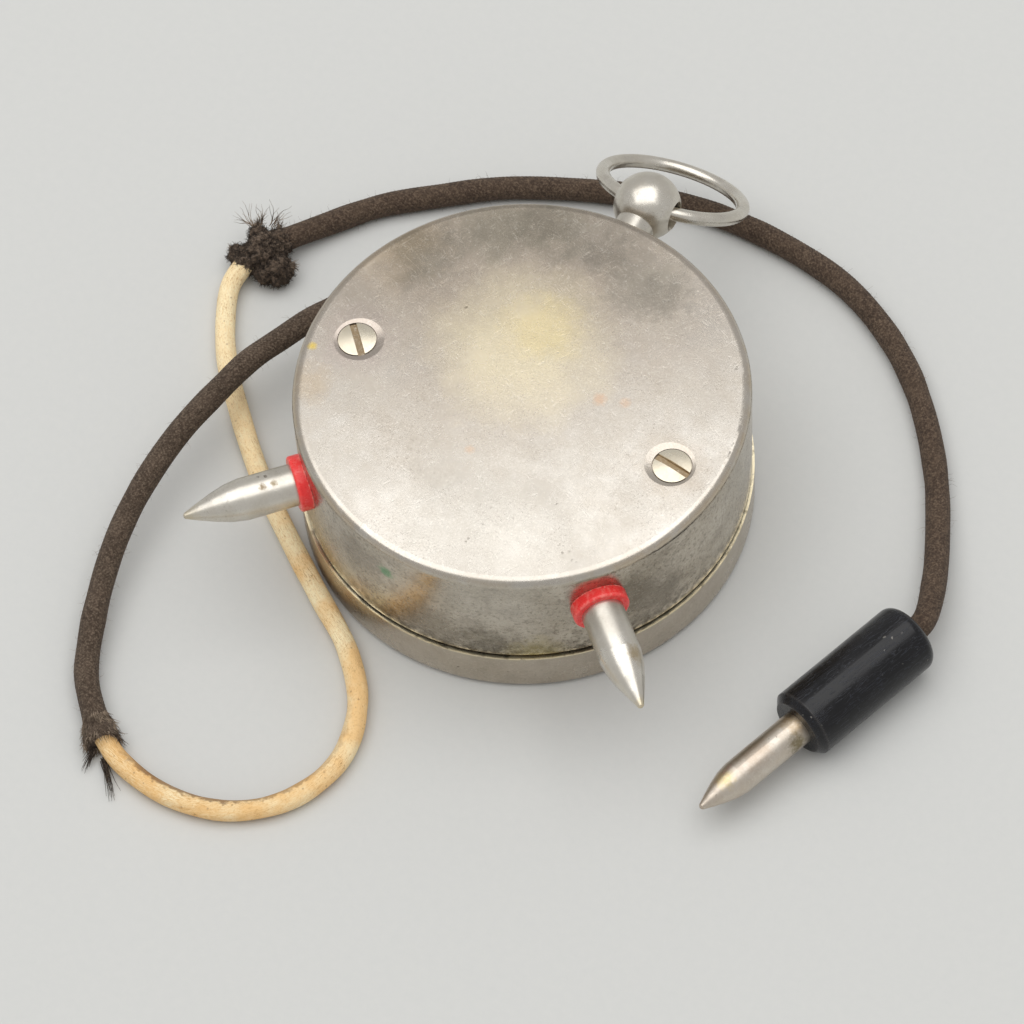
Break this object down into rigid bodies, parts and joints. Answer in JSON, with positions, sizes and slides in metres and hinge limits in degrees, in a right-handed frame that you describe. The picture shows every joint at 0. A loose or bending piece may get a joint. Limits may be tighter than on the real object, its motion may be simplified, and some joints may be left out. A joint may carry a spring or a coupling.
{
  "type": "pocket voltmeter",
  "caption": "Round nickelled pocket voltmeter lying face down, with two fixed contact prods, a pendant with a swinging bow, and a braided test lead that ends in a hand prod.",
  "frame": {"origin": "on the drum's axis, at the bezel's front face, on which the meter lies", "axes": "+Z from the bezel to the back of the drum, +Y towards the pendant, +X to the right when the back is seen with the pendant up"},
  "size_m": [0.0984, 0.0996, 0.0218],
  "materials": {
    "nickel_plate": "worn nickel plate on brass, softly polished",
    "brass": "turned and lacquered brass",
    "blued_steel": "blued steel",
    "spring_steel": "blued spring steel",
    "window_glass": "clear flat glass",
    "card_ring": "pressed card ring",
    "dial_enamel": "off-white dial paint",
    "pointer_black": "black lacquer",
    "soft_iron": "annealed soft iron",
    "magnet_red": "red lacquer on magnet steel",
    "bobbin_fibre": "black vulcanised fibre",
    "copper_wire": "enamelled copper wire",
    "resistance_wire": "varnished resistance wire",
    "red_fibre": "bright red fibre",
    "ebonite": "polished black ebonite",
    "wire_sleeving": "waxed cotton sleeving",
    "cotton_braid": "dark brown-grey cotton braid",
    "waxed_core": "waxed cream cotton over the conductor"
  },
  "bodies": {
    "drum": {"case_body": "nickel_plate", "bezel": "nickel_plate", "glass": "window_glass", "spacer_ring": "card_ring", "dial_plate": "dial_enamel", "dial_screws": "brass", "dial_posts": "brass", "movement_plate": "brass", "case_pillars": "brass", "case_screws": "nickel_plate", "front_bridge": "brass", "bridge_posts": "brass", "bridge_screws": "blued_steel", "front_pivot_screw": "blued_steel", "rear_bridge": "brass", "rear_pillars": "brass", "rear_screws": "blued_steel", "rear_pivot_screw": "blued_steel", "hairspring": "spring_steel", "hairspring_stud": "brass", "magnet": "magnet_red", "magnet_spacers": "brass", "magnet_screws": "blued_steel", "coil_bobbins": "bobbin_fibre", "coil_windings": "copper_wire", "pole_cores": "soft_iron", "resistor_spool": "bobbin_fibre", "resistor_winding": "resistance_wire", "resistor_screw": "blued_steel", "prod_left": "nickel_plate", "prod_right": "nickel_plate", "prod_collars": "red_fibre", "prod_washers": "red_fibre", "prod_tags": "brass", "prod_nuts": "brass", "lead_bush": "ebonite", "lead_bush_nut": "brass", "pendant": "nickel_plate", "pendant_nut": "brass", "hookup_wires": "wire_sleeving", "lead_braid": "cotton_braid", "bare_cord": "waxed_core", "splice_knot": "cotton_braid", "probe_braid": "cotton_braid", "probe_handle": "ebonite", "probe_pin": "nickel_plate"},
    "bow_ring": {"bow": "nickel_plate"},
    "rotor": {"staff": "blued_steel", "armature": "soft_iron", "pointer": "pointer_black", "hairspring_collet": "brass"}
  },
  "joints": [
    {"name": "bow_swing", "type": "hinge", "parent": "drum", "child": "bow_ring", "pos_m": [0, 0.0315, 0.0162], "axis": [1, 0, 0], "range_deg": [-8, 177]},
    {"name": "pointer_turn", "type": "hinge", "parent": "drum", "child": "rotor", "pos_m": [0, -0.003, 0.0045], "axis": [0, 0, 1], "range_deg": [0, 90], "stiffness_Nm_per_rad": 0.0000006, "deforming": ["hairspring"]}
  ]
}
